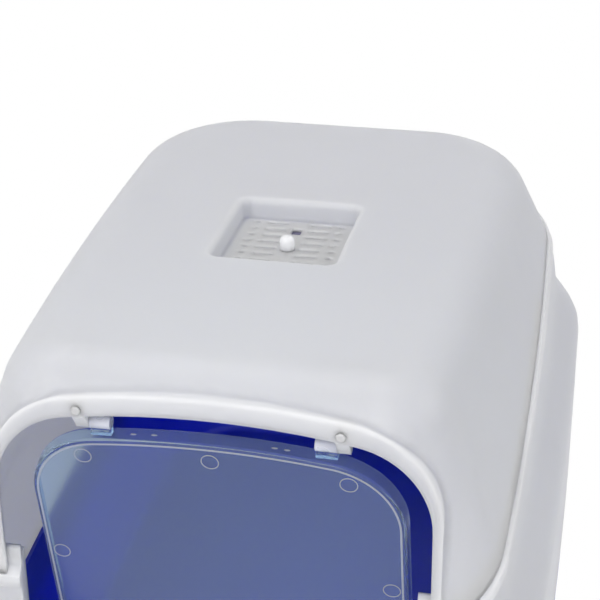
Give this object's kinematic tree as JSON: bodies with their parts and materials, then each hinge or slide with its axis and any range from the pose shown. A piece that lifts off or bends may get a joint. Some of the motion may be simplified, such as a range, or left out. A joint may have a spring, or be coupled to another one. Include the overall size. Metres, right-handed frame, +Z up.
{
  "type": "covered litter box",
  "caption": "Hooded cat litter box: deep pan, lift-off lower hood, cover hinged at the rear with an arched entrance, hanging see-through flap and roof vent with filter.",
  "frame": {"origin": "on the floor under the middle of the pan, at the centre of the part's footprint", "axes": "+X across to the right seen from the entrance, -Y out of the entrance, +Z up"},
  "size_m": [0.3958, 0.512, 0.3835],
  "materials": {
    "white_plastic": "satin moulded",
    "blue_plastic": "satin moulded",
    "clear_plastic": "frosted translucent",
    "filter_foam": "non-woven fibre"
  },
  "bodies": {
    "pan_body": {"pan": "blue_plastic"},
    "hood_body": {"lower_hood": "white_plastic", "cover_hinge_pin_left": "white_plastic", "cover_hinge_pin_right": "white_plastic"},
    "cover_body": {"top_cover": "white_plastic", "hinge_clip_left": "white_plastic", "hinge_clip_right": "white_plastic", "filter_pad": "filter_foam", "filter_holder": "white_plastic"},
    "flap_body": {"flap_door": "clear_plastic"},
    "knob_body": {"vent_knob": "white_plastic"}
  },
  "joints": [
    {"name": "hood_lift", "type": "slide", "parent": "pan_body", "child": "hood_body", "axis": [0, 0, 1], "range_m": [0, 0.12]},
    {"name": "cover_hinge", "type": "hinge", "parent": "hood_body", "child": "cover_body", "pos_m": [0, 0.23664, 0.287], "axis": [-1, 0, 0], "range_deg": [0, 95]},
    {"name": "flap_swing", "type": "hinge", "parent": "cover_body", "child": "flap_body", "pos_m": [0, -0.20787, 0.346], "axis": [1, 0, 0], "range_deg": [-75, 75]},
    {"name": "knob_turn", "type": "hinge", "parent": "cover_body", "child": "knob_body", "pos_m": [0, -0.002, 0.36418], "axis": [0, 0.1149, 0.9934], "range_deg": [0, 90]}
  ]
}
